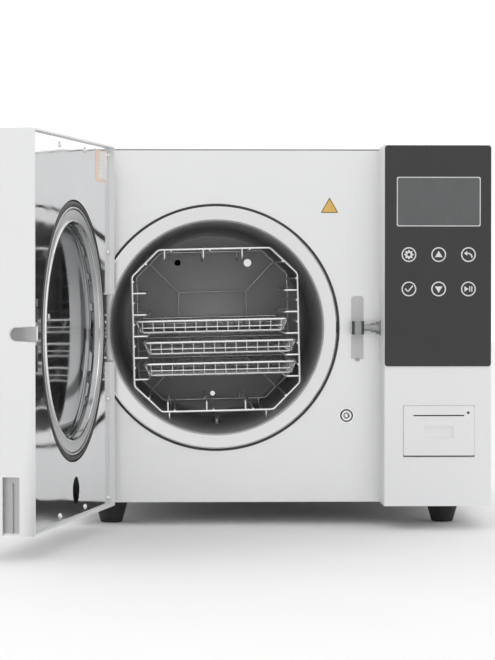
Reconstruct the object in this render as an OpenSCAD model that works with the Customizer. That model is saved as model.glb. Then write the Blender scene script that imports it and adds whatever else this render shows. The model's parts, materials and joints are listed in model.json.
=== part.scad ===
// Benchtop steam autoclave with its door standing open.
//
// Lengths are millimetres. Everything is laid out from the front left lower
// corner of the cabinet: X to the right, Y to the rear from the face of the
// front panel, Z up from the bench. The door is drawn shut and then swung
// open. in_frame() moves it all so that the origin lies on the bench, under
// the middle of the whole open machine.

/* [Cabinet] */
// Overall width
body_w = 486; // [480:1:500]
// Depth behind the front panel
body_d = 510; // [505:1:540]
// Height of the top cover above the bench
body_top = 443; // [440:1:455]
// Thickness of the painted sheet metal
sheet = 1.5; // [1.2:0.1:2]
// Height of the rubber feet
foot_h = 27; // [22:1:32]
// Distance from the sides to the middle of each foot
foot_inset = 45; // [40:1:60]

/* [Control column] */
// Left side of the column
column_x = 361.5; // [361:0.5:363]
// How far the column stands in front of the panel
column_d = 70; // [68:1:74]
// Wall thickness of the column
column_wall = 2; // [2:0.5:3]
// Diameter of a touch key
key_d = 17; // [14:1:20]
// Width of the printer cover
printer_w = 81.6; // [78:0.2:84]
// Height of the printer cover
printer_h = 57.2; // [54:0.2:60]

/* [Chamber] */
// Inside radius of the pressure vessel
chamber_r = 125; // [124:0.5:126]
// Distance of the chamber's axis from the left side
axis_x = 169.5; // [168:0.5:171]
// Height of the chamber's axis above the bench
axis_z = 232.7; // [231:0.1:235]
// Depth from the front panel to the rear wall inside
chamber_d = 350; // [345:1:360]
// Wall thickness of the vessel
vessel_wall = 2; // [1.5:0.5:3]
// Outside radius of the mouth flange
flange_r = 142.3; // [141:0.1:143]
// How far the flange stands in front of the panel
flange_out = 7; // [6:0.5:7]

/* [Door] */
// Width of the door
door_w = 357.5; // [356:0.5:358]
// Thickness of the door, lip included
door_t = 67.5; // [66:0.5:68]
// Gap between the shut door's lip and the front panel
door_gap = 2.5; // [2:0.5:3]
// Depth of the steel plate below the lip
plate_step = 5.5; // [5:0.5:7]
// How far the door stands open, in degrees
door_open = 101.5; // [60:0.5:110]
// Thickness of the door's moulded wall
door_wall = 2; // [2:0.5:3]
// Height of the arm and keeper slots
slot_h = 78; // [76:1:82]

/* [Latch] */
// Length of the handle lever
lever_l = 108; // [95:1:115]
// Radius of the latch spindle
spindle_r = 6; // [5:0.5:6.5]
// Height of the spindle above the chamber's axis
spindle_up = 32.3; // [30:0.1:36]
// Height of the keeper plate
keeper_h = 74; // [70:1:74]

/* [Rack and trays] */
// Thickness of the rack's wires
wire = 3; // [2.5:0.5:3]
// Half width of the rack, to the middle of the wire
rack_half = 98; // [96:0.5:98]
// Length of the rack
rack_l = 301; // [290:1:305]
// How far the rack has rolled in the chamber, in degrees
rack_tilt = 1.3; // [0:0.1:3]
// Distance from one pair of tray rails to the next
rail_pitch = 25.5; // [25:0.1:26]
// Width of a tray
tray_w = 183; // [180:1:183]
// Length of a tray
tray_l = 280; // [260:1:284]
// Height of a tray, from its floor to the middle of its rim
tray_h = 15.5; // [14:0.5:16]

/* [Inside] */
// Thickness of the chamber's insulation
insulation_t = 22; // [15:1:24]
// Radius of the steam generator
generator_r = 45; // [40:1:46]
// Diameter of the cooling fan's blades
fan_d = 108; // [100:1:110]
// Diameter of the paper roll
paper_d = 42; // [36:1:42]

/* [Hidden] */
$fn = 64;

// Where the middle of the whole open machine lies, from the cabinet's corner
frame_x = 187.2;
frame_y = 68.8;

// Running clearance of a pin in its hole, on the radius
fit = 0.06;
// Gap left between parts that must not touch
gap = 0.3;
// Overlap that joins two shapes of one piece
bite = 1;
// Length that takes a cut right through a wall
through = 10;

// Cabinet
body_z = foot_h;
panel_z0 = body_z + sheet;
panel_z1 = body_top - sheet - 0.2;
rear_y = body_d - sheet;
column_top = body_top + 1;
column_z = body_z + 1;
column_y = -column_d;

// Door, drawn shut
hinge_x = 10.4;
hinge_y = -42.3;
door_y0 = -door_gap - door_t;
door_y1 = -door_gap;
plate_y1 = door_y1 - plate_step;
plate_y0 = plate_y1 - sheet;
arm_half = 6.5;
slot_z0 = axis_z - slot_h / 2;
slot_z1 = axis_z + slot_h / 2;
bracket_x0 = 2.5;
bracket_x1 = 22.5;

// Gasket and pressure plate
gasket_r0 = 135.5;
gasket_r1 = 142;
gasket_face = -flange_out - gap;
plate_hole_r = 143.2;
dish_r = 119;
dish_edge_y = -20;
dish_depth = 12;
boss_y = -38;

// Door beam
beam_y0 = -60;
beam_y1 = -42;
beam_half = 16.5;
eye_r = 9.5;
pin_r = 5;

// Latch, drawn with the door shut and the lever level
spindle_x = 347.5;
spindle_z = axis_z + spindle_up;
tongue_y0 = -16;
tongue_y1 = -11;
tongue_l = 33;
strike_y = -22;
strike_r = 3.75;

// Keeper
keeper_x0 = 329;
keeper_x1 = 343;
block_x0 = 327.5;
block_x1 = 342;
block_h = 15.7;

// Rack, measured from the chamber's axis
rack_y0 = 18.5;
rack_y1 = rack_y0 + rack_l;
rack_top = 96;
corner_x = 66;
corner_z = 65;
rail_in = 81;
rail_levels = [for (i = [0 : 4]) 45 - i * rail_pitch];
peg_x = [-59, -13, 33];
peg_l = 12;
stop_x = 44;
stop_z = 44;
runner_x = 57.5;
runner_z = -104.9;
rack_drop = 3;

// Trays
tray_y = 24;
tray_bar = 1.6;
tray_levels = [for (i = [2 : 4]) rail_levels[i] + wire / 2 + gap];
tray_shift = [-4.5, 4.5, 4.5];

// Printer, in the lower part of the column
printer_x0 = 384.5;
printer_z0 = 86.4;
cover_t = 2.2;
cover_pivot_y = -66.5;
cover_pivot_z = 90;
cover_pivot_r = 1.2;
spool_y = -40;
spool_z = 108;
spool_r = 6;
ear_x = [printer_x0 - 0.5, printer_x0 + printer_w - 4.8];
ear_w = 5.2;

// Cooling fan, behind the rear panel's grille
fan_x = 100;
fan_z = 130;
fan_shaft_r = 2.5;

// Drain: coupler on the front panel, and where the chamber empties
coupler_x = 323;
coupler_z = 129;
drain_y = 230;

// Mains inlet and its switch
inlet_x = 440;
rocker_z = 104;
rocker_r = 1.5;
barb_x = [250, 290];
barb_z = 60;

// Water tank and its lid
tank_low = [335, 270, 260];
tank_high = [475, 440, 441.4];
lid_low = [346, 296, 443.3];
lid_high = [464, 404, 447.3];
lid_pivot_y = 409.5;
lid_pivot_z = 446.5;

// ---------------------------------------------------------------- helpers

// Moves a shape from the cabinet's corner to the frame of the whole machine
module in_frame() {
  translate([-frame_x, -frame_y, 0]) children();
}

// Swings a shape, drawn with the door shut, to where the door stands
module on_door() {
  in_frame() translate([hinge_x, hinge_y, 0]) rotate([0, 0, -door_open])
    translate([-hinge_x, -hinge_y, 0]) children();
}

// Origin on the chamber's axis, in the plane of the front panel
module in_chamber() {
  in_frame() translate([axis_x, 0, axis_z]) children();
}

module in_rack() {
  in_chamber() rotate([0, -rack_tilt, 0]) translate([0, 0, -rack_drop]) children();
}

// Box between two opposite corners
module box(low, high) {
  translate(low) cube(high - low);
}

// Rods along the three axes
module rod_x(x0, x1, y, z, r, sides = $fn) {
  translate([x0, y, z]) rotate([0, 90, 0]) cylinder(h = x1 - x0, r = r, $fn = sides);
}

module rod_y(x, z, y0, y1, r, sides = $fn) {
  translate([x, y0, z]) rotate([-90, 0, 0]) cylinder(h = y1 - y0, r = r, $fn = sides);
}

module rod_z(x, y, z0, z1, r, sides = $fn) {
  translate([x, y, z0]) cylinder(h = z1 - z0, r = r, $fn = sides);
}

// Tube along Y
module tube_y(x, z, y0, y1, r0, r1) {
  difference() {
    rod_y(x, z, y0, y1, r1);
    rod_y(x, z, y0 - bite, y1 + bite, r0);
  }
}

// Solid of revolution about an axis along Y, from [radius, y] points
module turned_y(points) {
  rotate([-90, 0, 0]) rotate_extrude($fn = 128) polygon(points);
}

// Flat outline in the X-Z plane, thickened from y0 to y1
module plate_y(y0, y1) {
  translate([0, y1, 0]) rotate([90, 0, 0]) linear_extrude(y1 - y0) children();
}

// Outline with its two front corners rounded
module front_rounded(x0, x1, y0, y1, r) {
  translate([x0, y0 + r]) square([x1 - x0, y1 - y0 - r]);
  translate([x0 + r, y0]) square([x1 - x0 - 2 * r, r + bite]);
  for (x = [x0 + r, x1 - r]) translate([x, y0 + r]) circle(r);
}

// Outline with all four corners rounded
module rounded(low, high, r) {
  translate([low[0] + r, low[1]]) square([high[0] - low[0] - 2 * r, high[1] - low[1]]);
  translate([low[0], low[1] + r]) square([high[0] - low[0], high[1] - low[1] - 2 * r]);
  for (x = [low[0] + r, high[0] - r], y = [low[1] + r, high[1] - r])
    translate([x, y]) circle(r);
}

// Pipe through a list of points, with round elbows
module pipe(points, r) {
  for (i = [0 : len(points) - 2]) {
    run = points[i + 1] - points[i];
    translate(points[i])
      rotate([0, acos(run[2] / norm(run)), atan2(run[1], run[0])])
        cylinder(h = norm(run), r = r, $fn = 24);
  }
  for (i = [1 : len(points) - 2]) translate(points[i]) sphere(r, $fn = 24);
}

// Flat mesh: a border with evenly spaced bars each way
module mesh_2d(size, columns, rows, bar) {
  hole = [(size[0] - bar) / columns - bar, (size[1] - bar) / rows - bar];
  difference() {
    square(size);
    for (i = [0 : columns - 1], j = [0 : rows - 1])
      translate([bar + i * (hole[0] + bar), bar + j * (hole[1] + bar)]) square(hole);
  }
}

// ---------------------------------------------------------------- cabinet

module base_pan() in_frame() color("whitesmoke") {
  box([sheet, 0, body_z], [body_w - sheet, rear_y, body_z + sheet]);
}

module feet() in_frame() color("#222222") {
  for (x = [foot_inset, body_w - foot_inset], y = [foot_inset, body_d - foot_inset])
    translate([x, y, 0]) cylinder(h = foot_h, r1 = 13, r2 = 20);
}

module front_panel() in_frame() color("gainsboro") {
  difference() {
    box([0, 0, panel_z0], [body_w - sheet, sheet, panel_z1]);
    rod_y(axis_x, axis_z, -bite, through, flange_r + 1.3);
    box([375, -bite, 60], [475, through, 430]);
    rod_y(coupler_x, coupler_z, -bite, through, 6);
  }
}

module casing() in_frame() color("whitesmoke") {
  difference() {
    box([0, 0, body_z], [body_w, rear_y, body_top]);
    box([sheet, -bite, body_z - bite], [body_w - sheet, body_d, body_top - sheet]);
    box([-bite, -bite, body_z - bite], [body_w + bite, sheet, body_top - sheet]);
    box([lid_low[0] + 4, lid_low[1] + 4, 400], [lid_high[0] - 4, lid_high[1] - 4, 460]);
    for (i = [0 : 7]) box([480, 400 + i * 9, 300], [490, 403.5 + i * 9, 380]);
  }
  for (x = [380, 422])
    difference() {
      box([x, lid_pivot_y - 3.5, body_top - bite / 2], [x + 8, lid_pivot_y + 3.5, body_top + 7]);
      rod_x(x - bite, x + 9, lid_pivot_y, lid_pivot_z, 2 + fit);
    }
}

module rear_panel() in_frame() color("whitesmoke") {
  difference() {
    box([0, rear_y, body_z], [body_w, body_d, body_top]);
    for (i = [-5 : 5])
      box([fan_x - 48, rear_y - bite, fan_z + i * 9 - 2],
          [fan_x + 48, body_d + bite, fan_z + i * 9 + 2]);
    box([420, rear_y - bite, 54], [460, body_d + bite, 120]);
    for (x = barb_x) rod_y(x, barb_z, rear_y - bite, body_d + bite, 6);
    rod_y(215, 320, rear_y - bite, body_d + bite, 9);
  }
}

module panel_screws() in_frame() color("silver") {
  rod_y(242, 34, -1, 0, 1.6);
  for (x = [12, body_w - 12], z = [50, 235, 425]) rod_y(x, z, body_d, body_d + 1.6, 3);
}

// ---------------------------------------------------------------- control column

module control_column() in_frame() color("whitesmoke") {
  difference() {
    translate([0, 0, column_z]) linear_extrude(column_top - column_z)
      front_rounded(column_x, body_w, column_y, 0, 2.5);
    translate([0, 0, column_z + column_wall])
      linear_extrude(column_top - column_z - 2 * column_wall)
        front_rounded(column_x + column_wall, body_w - column_wall,
                      column_y + column_wall, bite, 1.5);
    box([printer_x0 - 0.5, column_y - bite, printer_z0 - 2.2],
        [printer_x0 + printer_w + 0.5, column_y + 3, printer_z0 + printer_h + 0.5]);
    box([378, column_y - bite, 352], [471, column_y + 3, 405]);
    rod_x(column_x - bite, column_x + 3, strike_y, axis_z, 5.5);
  }
}

module control_overlay() in_frame() color("#3c3c3e") {
  plate_y(column_y - 1, column_y)
    rounded([column_x + 1, 189.2], [body_w - 1, column_top - 1], 3.5);
}

module display_window() in_frame() color("#8b9399") {
  plate_y(column_y - 1.6, column_y - 1) rounded([376.2, 350.1], [472.7, 406.9], 1.5);
}

module touch_keys() in_frame() color("lightgray") {
  for (x = [390.2, 424.5, 458.8], z = [317.7, 278.2])
    tube_y(x, z, column_y - 1.4, column_y - 1, key_d / 2 - 1.4, key_d / 2);
}

module control_board() in_frame() color("seagreen") {
  box([372, -60, 200], [476, -58.4, 436]);
  box([374, -67.5, 348], [475, -60, 409]);
  for (z = [230, 255, 280]) box([390, -58.4, z], [410, -55, z + 16]);
  for (x = [430, 446]) rod_y(x, 240, -58.4, -44, 6);
}

module printer_housing() in_frame() color("#303030") {
  x0 = printer_x0 - 0.5;
  x1 = printer_x0 + printer_w + 0.5;
  z0 = printer_z0 - 2.4;
  z1 = printer_z0 + printer_h + 0.6;
  difference() {
    box([x0 - 2, column_y + column_wall, z0 - 2], [x1 + 2, -14, z1 + 2]);
    box([x0, column_y + 1, z0], [x1, -16, z1]);
  }
  for (x = ear_x)
    difference() {
      box([x - bite, column_y + column_wall, cover_pivot_z - 1.7],
          [x + ear_w + bite, -60, cover_pivot_z + 1.7]);
      rod_x(x - 3, x + ear_w + 3, cover_pivot_y, cover_pivot_z, cover_pivot_r + fit);
    }
  rod_x(x0 - bite, x1 + bite, spool_y, spool_z, spool_r);
}

module print_head() in_frame() color("dimgray") {
  box([printer_x0 + 11, -60, 134], [printer_x0 + 71, -50, 144.1]);
  rod_x(printer_x0 + 12, printer_x0 + 70, -63.6, 138.6, 3.5);
}

module paper_roll() in_frame() color("white") {
  difference() {
    rod_x(printer_x0 + 12.3, printer_x0 + 69.3, spool_y, spool_z, paper_d / 2);
    rod_x(printer_x0, printer_x0 + 90, spool_y, spool_z, spool_r + fit);
  }
}

module printer_cover() in_frame() color("whitesmoke") {
  y0 = column_y - 1;
  difference() {
    plate_y(y0, y0 + cover_t)
      rounded([printer_x0, printer_z0], [printer_x0 + printer_w, printer_z0 + printer_h], 1.5);
    box([printer_x0 + 11.2, y0 - bite, 131.7], [printer_x0 + 69.8, y0 + 5, 133.1]);
    box([printer_x0 + 24.4, y0 - bite, 106.5], [printer_x0 + 57.1, y0 + 1.4, 119.7]);
    rod_y(458.9, 135.6, y0 - bite, y0 + 5, 1.5);
  }
  rod_x(ear_x[0] + 1, ear_x[1] + ear_w - 1, cover_pivot_y, cover_pivot_z, cover_pivot_r);
  for (x = [printer_x0 + 6, printer_x0 + printer_w - 12])
    box([x, y0 + cover_t - bite / 2, cover_pivot_z - cover_pivot_r],
        [x + 6, cover_pivot_y, cover_pivot_z + cover_pivot_r]);
}

// ---------------------------------------------------------------- chamber

module pressure_vessel() in_chamber() color("silver") {
  outer = chamber_r + vessel_wall;
  back = chamber_d + vessel_wall;
  curve = 14;
  difference() {
    turned_y(concat(
      [[chamber_r, -flange_out + 2], [chamber_r + 2, -flange_out], [flange_r - 1.5, -flange_out],
       [flange_r, -flange_out + 1.5], [flange_r, 8], [outer, 8]],
      [for (a = [0 : 15 : 90]) [outer - curve + curve * cos(a), back - curve + curve * sin(a)]],
      [[0, back], [0, chamber_d]],
      [for (a = [90 : -15 : 0])
        [chamber_r - curve + curve * cos(a), chamber_d - curve + curve * sin(a)]]));
    rod_y(-46, 79, chamber_d - through, back + bite, 4);
    rod_z(4, drain_y, -outer - bite, -chamber_r + through, 6);
  }
}

module vessel_seal_ring() in_chamber() color("#2a2a2a") {
  tube_y(0, 0, -2.2, 0, flange_r + 0.3, flange_r + 3.1);
}

module insulation_jacket() in_chamber() color("khaki") {
  r = chamber_r + vessel_wall + 4;
  difference() {
    tube_y(0, 0, 12, chamber_d - 14, r, r + insulation_t);
    rod_z(4, drain_y, -r - insulation_t - bite, -r + through, 10);
  }
}

module band_heater() in_chamber() color("goldenrod") {
  r = chamber_r + vessel_wall + 0.1;
  difference() {
    tube_y(0, 0, 90, 210, r, r + 3.4);
    box([-4, 80, r - through], [4, 220, r + through]);
  }
}

module chamber_ports() in_chamber() color("silver") {
  back = chamber_d + vessel_wall;
  rod_y(46, 79, chamber_d - 2, chamber_d, 5);
  rod_y(0, -93, chamber_d - 2, chamber_d, 3.2);
  tube_y(-46, 79, back, back + 22, 4, 7);
  rod_y(46, 79, back, back + 22, 7);
  rod_y(0, -93, back, back + 16, 6);
}

module drain_strainer() in_chamber() color("silver") {
  low = -chamber_r + 0.4;
  difference() {
    rod_z(4, drain_y, low - 2, low + 9, 5);
    for (a = [0, 90])
      translate([4, drain_y, low + 9]) rotate([0, 0, a]) cube([12, 1.8, 9], center = true);
  }
}

module drain_pipe() in_frame() color("peru") {
  x = axis_x + 4;
  pipe([[x, drain_y, 104], [x, drain_y, 50], [coupler_x, drain_y, 50], [coupler_x, 20, 50],
        [coupler_x, 20, coupler_z], [coupler_x, 2, coupler_z]], 4);
}

module steam_generator() in_frame() color("lightsteelblue") {
  x = 405;
  y = 120;
  rod_z(x, y, 62, 186, generator_r);
  rod_z(x, y, 186, 194, generator_r + 6);
  for (a = [0 : 60 : 300])
    rod_z(x + (generator_r + 1) * cos(a), y + (generator_r + 1) * sin(a), 194, 200, 3.4, 6);
  rod_z(x, y, 194, 206, 9);
  for (a = [45, 225]) rod_z(x + 22 * cos(a), y + 22 * sin(a), 194, 216, 4);
  for (a = [30, 150, 270])
    rod_z(x + 34 * cos(a), y + 34 * sin(a), body_z + sheet, 62, 5);
}

module steam_pipe() in_frame() color("silver") {
  side_x = 329;
  port = [axis_x + 46, chamber_d + vessel_wall + 22, axis_z + 79];
  pipe([[405, 120, 206], [405, 120, 238], [side_x, 120, 238], [side_x, 390, 238],
        [side_x, 390, port[2]], [port[0], 390, port[2]], port], 4);
}

module air_filter() in_frame() color("white") {
  rod_z(400, 205, 246, 254, 12);
  rod_z(400, 205, 254, 322, 30);
  rod_z(400, 205, 322, 338, 8);
}

module vacuum_pump() in_frame() color("#4a4f55") {
  box([345, 210, body_z + sheet], [440, 280, 104]);
  rod_y(392, 67, 280, 360, 35);
  for (i = [0 : 5]) rod_y(392, 67, 288 + i * 12, 292 + i * 12, 37);
}

module solenoid_valves() in_frame() color("darkgoldenrod") {
  for (i = [0 : 2]) {
    box([340 + i * 44, 392, 62], [366 + i * 44, 418, 82]);
    rod_z(353 + i * 44, 405, 82, 90, 6);
    box([338 + i * 44, 390, 90], [368 + i * 44, 420, 122]);
    rod_z(353 + i * 44, 405, 122, 128, 4);
  }
  box([334, 398, 54], [460, 412, 62]);
  for (x = [340, 440]) box([x, 400, body_z + sheet], [x + 10, 410, 54]);
}

module water_tank() in_frame() color("aliceblue") {
  wall = 3;
  difference() {
    box(tank_low, tank_high);
    box(tank_low + [wall, wall, wall], [tank_high[0] - wall, tank_high[1] - wall, 460]);
  }
}

module tank_lid() in_frame() color("whitesmoke") {
  translate([0, 0, lid_low[2]]) linear_extrude(lid_high[2] - lid_low[2])
    rounded([lid_low[0], lid_low[1]], [lid_high[0], lid_high[1]], 6);
  rod_x(374, 436, lid_pivot_y, lid_pivot_z, 2);
  for (x = [374, 431])
    box([x, lid_high[1] - bite, lid_pivot_z - 2], [x + 5, lid_pivot_y, lid_pivot_z + 0.8]);
}

module power_board() in_frame() color("darkgreen") {
  box([480, 90, 190], [481.6, 240, 400]);
  for (y = [110, 138, 166]) rod_x(452, 480, y, 370, 11);
  box([455, 120, 210], [480, 170, 255]);
  for (i = [0 : 5]) box([448, 185 + i * 7, 290], [480, 187.5 + i * 7, 340]);
}

module condenser_coil() in_frame() color("silver") {
  for (i = [0 : 11]) box([34 + i * 11, 405, 66], [35 + i * 11, 465, 196]);
  for (y = [420, 450], z = [84, 116, 148, 180]) rod_x(26, 164, y, z, 4);
  for (x = [27, 162]) box([x, 405, body_z + sheet], [x + 1.5, 465, 200]);
}

module fan_frame() in_frame() color("#2b2b2b") {
  difference() {
    box([fan_x - 60, 482, fan_z - 60], [fan_x + 60, 507, fan_z + 60]);
    rod_y(fan_x, fan_z, 470, 520, fan_d / 2 + 3);
  }
  for (a = [45, 135])
    translate([fan_x, 505, fan_z]) rotate([0, a, 0]) cube([124, 4, 5], center = true);
  rod_y(fan_x, fan_z, 502, 507, 20);
  rod_y(fan_x, fan_z, 486, 503, fan_shaft_r);
}

module fan_rotor() in_frame() color("#3a3a3a") {
  difference() {
    union() {
      rod_y(fan_x, fan_z, 484, 500, 20);
      for (a = [0 : 360 / 7 : 359])
        translate([fan_x, 492, fan_z]) rotate([0, a, 0])
          translate([18, 0, 0]) rotate([35, 0, 0])
            translate([0, -1, -9]) cube([fan_d / 2 - 18, 2, 18]);
    }
    rod_y(fan_x, fan_z, 480, 505, fan_shaft_r + fit);
  }
}

module safety_valve() in_frame() color("gold") {
  rod_y(215, 320, 425, 440, 13, 6);
  rod_y(215, 320, 440, 500, 8);
  rod_y(215, 320, 500, body_d + 12, 7);
}

module keeper_plate() in_frame() color("darkgray") {
  plate_y(-3, 0) difference() {
    translate([keeper_x0, axis_z - keeper_h / 2]) square([keeper_x1 - keeper_x0, keeper_h]);
    for (x = [keeper_x0, keeper_x1])
      translate([x, axis_z + keeper_h / 2]) circle(2);
  }
  rod_z(336, -2.6, axis_z - keeper_h / 2 - 2.6, axis_z - keeper_h / 2 + 1, 2.2);
}

module keeper_block() in_frame() color("silver") {
  translate([0, 0, axis_z - block_h / 2]) linear_extrude(block_h)
    front_rounded(block_x0, block_x1, -30, -3, 5);
}

module strike_bolt() in_frame() color("silver") {
  rod_x(block_x1, 350, strike_y, axis_z, strike_r);
  rod_x(350, 356.2, strike_y, axis_z, 5.5);
  rod_x(356.2, 360.2, strike_y, axis_z, 7.3, 6);
  rod_x(360.2, column_x, strike_y, axis_z, 9.5);
  rod_x(column_x, 369, strike_y, axis_z, 5.4);
  rod_x(369, 373, strike_y, axis_z, 8, 6);
}

module drain_coupler() in_frame() color("silver") {
  difference() {
    union() {
      rod_y(coupler_x, coupler_z, -3, 0, 10, 6);
      rod_y(coupler_x, coupler_z, -6, -3, 7.5);
    }
    rod_y(coupler_x, coupler_z, -7, bite, 3.5);
  }
}

module hot_mark() in_frame() color("goldenrod") {
  plate_y(-0.3, 0) polygon([[292.5, 367.5], [313.5, 367.5], [303, 386]]);
}

// ---------------------------------------------------------------- hinge

module hinge_bracket() in_frame() color("gray") {
  for (low = [axis_z - 34.5, axis_z + 17.5])
    difference() {
      union() {
        rod_z(hinge_x, hinge_y, low, low + 17, 8);
        box([hinge_x - arm_half, hinge_y, low], [hinge_x + arm_half, -4, low + 17]);
      }
      rod_z(hinge_x, hinge_y, low - bite, low + 18, pin_r);
    }
  box([bracket_x0, -5, axis_z - 36], [bracket_x1, 0, axis_z + 36]);
}

module hinge_pin() in_frame() color("silver") {
  rod_z(hinge_x, hinge_y, axis_z - 34.5, axis_z + 34.5, pin_r);
  rod_z(hinge_x, hinge_y, axis_z + 34.5, axis_z + 36.5, 7);
}

// ---------------------------------------------------------------- back end

module mains_inlet() in_frame() color("#1f1f1f") {
  difference() {
    union() {
      box([414, body_d, 48], [466, body_d + 3, 126]);
      box([421, 478, 55], [459, body_d, 119]);
    }
    box([427.5, 495, 60.5], [452.5, body_d + 4, 78.5]);
    box([433, 490, 92], [447, body_d + 4, 116]);
    rod_x(inlet_x - 9, inlet_x + 9, body_d + 1, rocker_z, rocker_r + fit);
  }
  for (i = [-1 : 1])
    box([inlet_x + 7.5 * i - 1, 494, 67.5], [inlet_x + 7.5 * i + 1, 507, 71.5]);
}

module power_switch() in_frame() color("#303030") {
  translate([433.4, 0, 0]) rotate([90, 0, 90]) linear_extrude(13.2)
    polygon([[body_d - 4, 94.5], [body_d + 3.2, 94], [body_d + 2, 104], [body_d + 6, 113],
             [body_d - 1, 114.5], [body_d - 6, 104]]);
  rod_x(inlet_x - 8.5, inlet_x + 8.5, body_d + 1, rocker_z, rocker_r);
}

module hose_barbs() in_frame() color("goldenrod") {
  for (x = barb_x)
    difference() {
      union() {
        rod_y(x, barb_z, body_d, body_d + 4, 9, 6);
        rod_y(x, barb_z, 485, body_d + 18, 4);
      }
      rod_y(x, barb_z, 480, body_d + 19, 2.5);
    }
}

// ---------------------------------------------------------------- door

module door_shell() on_door() color("whitesmoke") {
  difference() {
    translate([0, 0, body_z]) linear_extrude(body_top - body_z)
      front_rounded(0, door_w, door_y0, door_y1, 3);
    translate([0, 0, body_z + door_wall]) linear_extrude(body_top - body_z - 2 * door_wall)
      front_rounded(door_wall, door_w - door_wall, door_y0 + door_wall, 5, 2);
    box([-bite, hinge_y - 14, slot_z0], [door_wall + bite, 5, slot_z1]);
    rod_x(door_w - through, door_w + bite, strike_y, axis_z, 8);
    box([door_w - 5, strike_y, axis_z - 8], [door_w + bite, 5, axis_z + 8]);
    box([door_w - 8, -37, body_z - bite], [door_w + bite, -19, body_z + 60]);
    rod_y(spindle_x, spindle_z, door_y0 - bite, door_y0 + 4, spindle_r + fit);
  }
  box([door_w - 14, -40, body_z + 1], [door_w - 12.5, -34, body_z + 52]);
}

module door_plate() on_door() color("silver") {
  plate_y(plate_y0, plate_y1) difference() {
    translate([door_wall, body_z + door_wall])
      square([door_w - 2 * door_wall, body_top - body_z - 2 * door_wall]);
    translate([axis_x, axis_z]) circle(plate_hole_r, $fn = 128);
    translate([0, slot_z0]) square([19, slot_h]);
    translate([325, slot_z0]) square([19.5, slot_h]);
    translate([344, axis_z - 8]) square([20, 16]);
    translate([163.5, 58]) circle(15);
  }
}

module plate_screws() on_door() color("silver") {
  for (x = [9, 122, 234, 345], z = [36.5, 432.5]) rod_y(x, z, plate_y1, plate_y1 + 1.8, 3);
  for (z = [151, 320]) rod_y(9, z, plate_y1, plate_y1 + 1.8, 3);
}

module door_label() on_door() color("mistyrose") {
  plate_y(plate_y1, plate_y1 + 0.25) rounded([17, 400], [72, 436], 2);
}

module pressure_plate() on_door() translate([axis_x, 0, axis_z]) color("silver") {
  face = gasket_face - 1.3;
  turned_y(concat(
    [[0, boss_y], [14, boss_y], [14, dish_edge_y - dish_depth - 4], [dish_r - 8, -29],
     [dish_r + 2, -19], [gasket_r1 - 0.5, -19], [gasket_r1 - 0.5, -15.2],
     [gasket_r0 - 0.2, -15.2], [gasket_r0 - 0.2, face + 0.6], [gasket_r0 - 1, face + 0.9],
     [gasket_r0 - 2, face + 0.6], [gasket_r0 - 2, face - 4], [132, face - 4]],
    [for (i = [0 : 4]) each [[132 - i * 2.4, face - i * 0.25], [129.6 - i * 2.4, face - i * 0.25]]],
    [[120, face + 0.5], [dish_r, face + 0.5], [dish_r, dish_edge_y + 1], [dish_r - 2, dish_edge_y]],
    [for (a = [15 : 15 : 90]) [(dish_r - 2) * cos(a), dish_edge_y - dish_depth * sin(a)]]));
  rod_y(66, 16, dish_edge_y - 11, dish_edge_y + 1.5, 3.5);
}

module door_gasket() on_door() translate([axis_x, 0, axis_z]) color("#2c2c2c") {
  turned_y([[gasket_r0, -15], [gasket_r1, -15], [gasket_r1, gasket_face - 0.8],
            [gasket_r1 - 1.2, gasket_face], [gasket_r0 + 1, gasket_face],
            [gasket_r0, gasket_face - 1]]);
}

module door_beam() on_door() color("gray") {
  difference() {
    union() {
      rod_z(hinge_x, hinge_y, axis_z - beam_half, axis_z + beam_half, eye_r);
      box([hinge_x + 2, hinge_y - 6, axis_z - beam_half],
          [hinge_x + 20, hinge_y + 5.5, axis_z + beam_half]);
      box([hinge_x + 16, beam_y0, axis_z - beam_half],
          [300, beam_y1 + 3, axis_z + beam_half]);
    }
    rod_z(hinge_x, hinge_y, axis_z - 20, axis_z + 20, 7.5);
    rod_y(axis_x, axis_z, beam_y0 - bite, beam_y1 + 4, 6);
  }
}

module hinge_bushes() on_door() color("goldenrod") {
  for (z = [axis_z - beam_half, axis_z + 1])
    difference() {
      rod_z(hinge_x, hinge_y, z, z + beam_half - 1, 7.5);
      rod_z(hinge_x, hinge_y, z - bite, z + beam_half, pin_r + fit);
    }
}

module plate_pivot() on_door() color("silver") {
  rod_y(axis_x, axis_z, beam_y0 - 6, boss_y, 6);
  rod_y(axis_x, axis_z, beam_y0 - 5, beam_y0, 11, 6);
}

module latch_guide() on_door() color("silver") {
  x0 = door_w - door_wall - 11.4;
  difference() {
    box([x0, -37, axis_z - 11], [door_w - door_wall, tongue_y0 - 0.8, axis_z + 11]);
    rod_x(x0 - bite, door_w, strike_y, axis_z, 7);
    box([x0 - bite, strike_y, axis_z - 7], [door_w, 0, axis_z + 7]);
  }
}

module latch_handle() on_door() color("#3a3a3c") {
  y1 = door_y0 - gap;
  rod_y(spindle_x, spindle_z, y1 - 12, y1, 9);
  plate_y(y1 - 25, y1 - 12) {
    translate([spindle_x, spindle_z]) circle(11);
    translate([spindle_x - lever_l, spindle_z]) circle(8.5);
    translate([spindle_x, spindle_z])
      polygon([[0, 11], [-lever_l, 8.5], [-lever_l, -8.5], [0, -11]]);
  }
}

module latch_tongue() on_door() color("silver") {
  rod_y(spindle_x, spindle_z, door_y0 - gap, tongue_y1, spindle_r);
  plate_y(tongue_y0, tongue_y1) {
    translate([spindle_x - tongue_l, spindle_z]) circle(4);
    translate([spindle_x - tongue_l, spindle_z - 4]) square([tongue_l, 8]);
  }
}

// ---------------------------------------------------------------- rack and trays

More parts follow.
